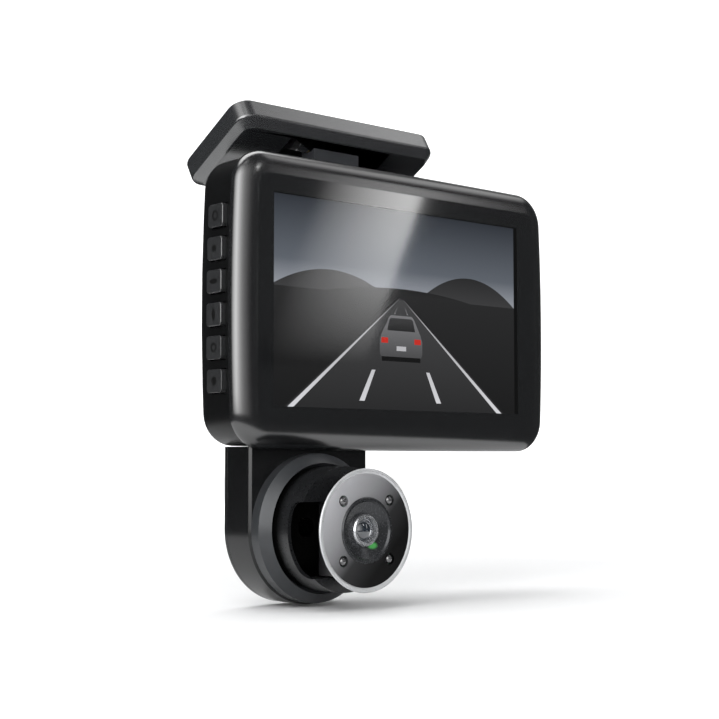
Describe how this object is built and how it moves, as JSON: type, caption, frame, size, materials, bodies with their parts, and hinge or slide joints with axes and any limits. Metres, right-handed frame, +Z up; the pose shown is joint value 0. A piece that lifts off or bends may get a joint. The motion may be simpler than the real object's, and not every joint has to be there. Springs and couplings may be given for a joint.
{
  "type": "dash camera",
  "caption": "Windscreen dash camera: a slim screen unit with side buttons on a tilting adhesive mount, with a road-facing lens behind and a swivelling round cabin camera below.",
  "frame": {"origin": "middle of the outer face of the adhesive pad, which sits against the windscreen", "axes": "+Z up, +Y ahead towards the road, +X to the right of someone in the cabin who faces the screen"},
  "size_m": [0.0876, 0.0405, 0.0997],
  "materials": {
    "pad_foam": "matte foam tape",
    "mount_plastic": "smooth satin",
    "steel": "zinc plated",
    "spring_brass": "plain",
    "foot_plastic": "satin",
    "bezel_gloss": "high gloss",
    "front_glass": "clear over black print",
    "lcd_glass": "clear",
    "backlight_white": "white film stack",
    "housing_black": "fine satin",
    "board_green": "solder mask",
    "shield_steel": "plain",
    "spreader_aluminium": "milled",
    "cell_wrap": "heat-shrink film",
    "speaker_black": "matte",
    "button_black": "satin with pale icons",
    "card_black": "matte",
    "lens_housing": "fine matte",
    "lens_barrel": "black anodised",
    "lens_glass": "coated",
    "drop_plastic": "gloss",
    "collar_grey": "satin grey",
    "sleeve_plastic": "satin",
    "head_plastic": "matte",
    "face_grey": "satin metallic",
    "rim_chrome": "polished",
    "led_clear": "clear resin",
    "lens_ring_dark": "satin",
    "flex_dark": "black polyimide film"
  },
  "bodies": {
    "mount": {"adhesive_pad": "pad_foam", "mount_plate": "mount_plastic", "hinge_screw": "steel", "hinge_nut": "steel", "friction_washers": "spring_brass"},
    "unit": {"hinge_foot": "foot_plastic", "foot_screws": "steel", "front_bezel": "bezel_gloss", "cover_glass": "front_glass", "lcd_panel": "lcd_glass", "backlight_unit": "backlight_white", "screen_bracket": "shield_steel", "rear_housing": "housing_black", "housing_screws": "steel", "main_board": "board_green", "board_screws": "steel", "processor_shield": "shield_steel", "heat_spreader": "spreader_aluminium", "battery_cell": "cell_wrap", "speaker": "speaker_black", "microphone": "shield_steel", "button_board": "board_green", "dome_switches": "shield_steel", "memory_card_socket": "shield_steel", "usb_socket": "steel", "road_lens_shroud": "lens_housing", "road_lens_barrel": "lens_barrel", "road_lens_glass": "lens_glass", "road_sensor_board": "board_green", "sensor_screws": "steel", "drop_front_shell": "drop_plastic", "drop_back_cover": "drop_plastic", "drop_screws": "steel", "cover_screws": "steel", "collar_ring": "collar_grey", "retainer_ring": "lens_housing", "wave_washer": "steel", "ribbon_cable": "flex_dark"},
    "swivel": {"swivel_sleeve": "sleeve_plastic", "pivot_pins": "steel"},
    "head": {"head_casing": "head_plastic", "face_disc": "face_grey", "face_rim": "rim_chrome", "infrared_leds": "led_clear", "infrared_board": "board_green", "cabin_lens_ring": "lens_ring_dark", "cabin_lens_barrel": "lens_barrel", "cabin_lens_glass": "lens_glass", "cabin_sensor_board": "board_green"},
    "card": {"memory_card": "card_black"},
    "button_1": {"button_1": "button_black"},
    "button_2": {"button_2": "button_black"},
    "button_3": {"button_3": "button_black"},
    "button_4": {"button_4": "button_black"},
    "button_5": {"button_5": "button_black"},
    "button_6": {"button_6": "button_black"}
  },
  "joints": [
    {"name": "mount_tilt", "type": "hinge", "parent": "mount", "child": "unit", "pos_m": [0, -0.00722, -0.00091], "axis": [1, 0, 0], "range_deg": [-25, 15]},
    {"name": "swivel_roll", "type": "hinge", "parent": "unit", "child": "swivel", "pos_m": [-0.0107, -0.01822, -0.07981], "axis": [0, 1, 0], "range_deg": [-90, 90]},
    {"name": "head_pan", "type": "hinge", "parent": "swivel", "child": "head", "pos_m": [-0.0107, -0.02262, -0.07981], "axis": [0, 0, 1], "range_deg": [-20, 20]},
    {"name": "card_slide", "type": "slide", "parent": "unit", "child": "card", "axis": [1, 0, 0], "range_m": [0, 0.012]},
    {"name": "button_1_press", "type": "slide", "parent": "unit", "child": "button_1", "axis": [1, 0, 0], "range_m": [0, 0.00035], "stiffness_N_per_m": 300, "springref_m": -0.002},
    {"name": "button_2_press", "type": "slide", "parent": "unit", "child": "button_2", "axis": [1, 0, 0], "range_m": [0, 0.00035], "stiffness_N_per_m": 300, "springref_m": -0.002},
    {"name": "button_3_press", "type": "slide", "parent": "unit", "child": "button_3", "axis": [1, 0, 0], "range_m": [0, 0.00035], "stiffness_N_per_m": 300, "springref_m": -0.002},
    {"name": "button_4_press", "type": "slide", "parent": "unit", "child": "button_4", "axis": [1, 0, 0], "range_m": [0, 0.00035], "stiffness_N_per_m": 300, "springref_m": -0.002},
    {"name": "button_5_press", "type": "slide", "parent": "unit", "child": "button_5", "axis": [1, 0, 0], "range_m": [0, 0.00035], "stiffness_N_per_m": 300, "springref_m": -0.002},
    {"name": "button_6_press", "type": "slide", "parent": "unit", "child": "button_6", "axis": [1, 0, 0], "range_m": [0, 0.00035], "stiffness_N_per_m": 300, "springref_m": -0.002}
  ]
}
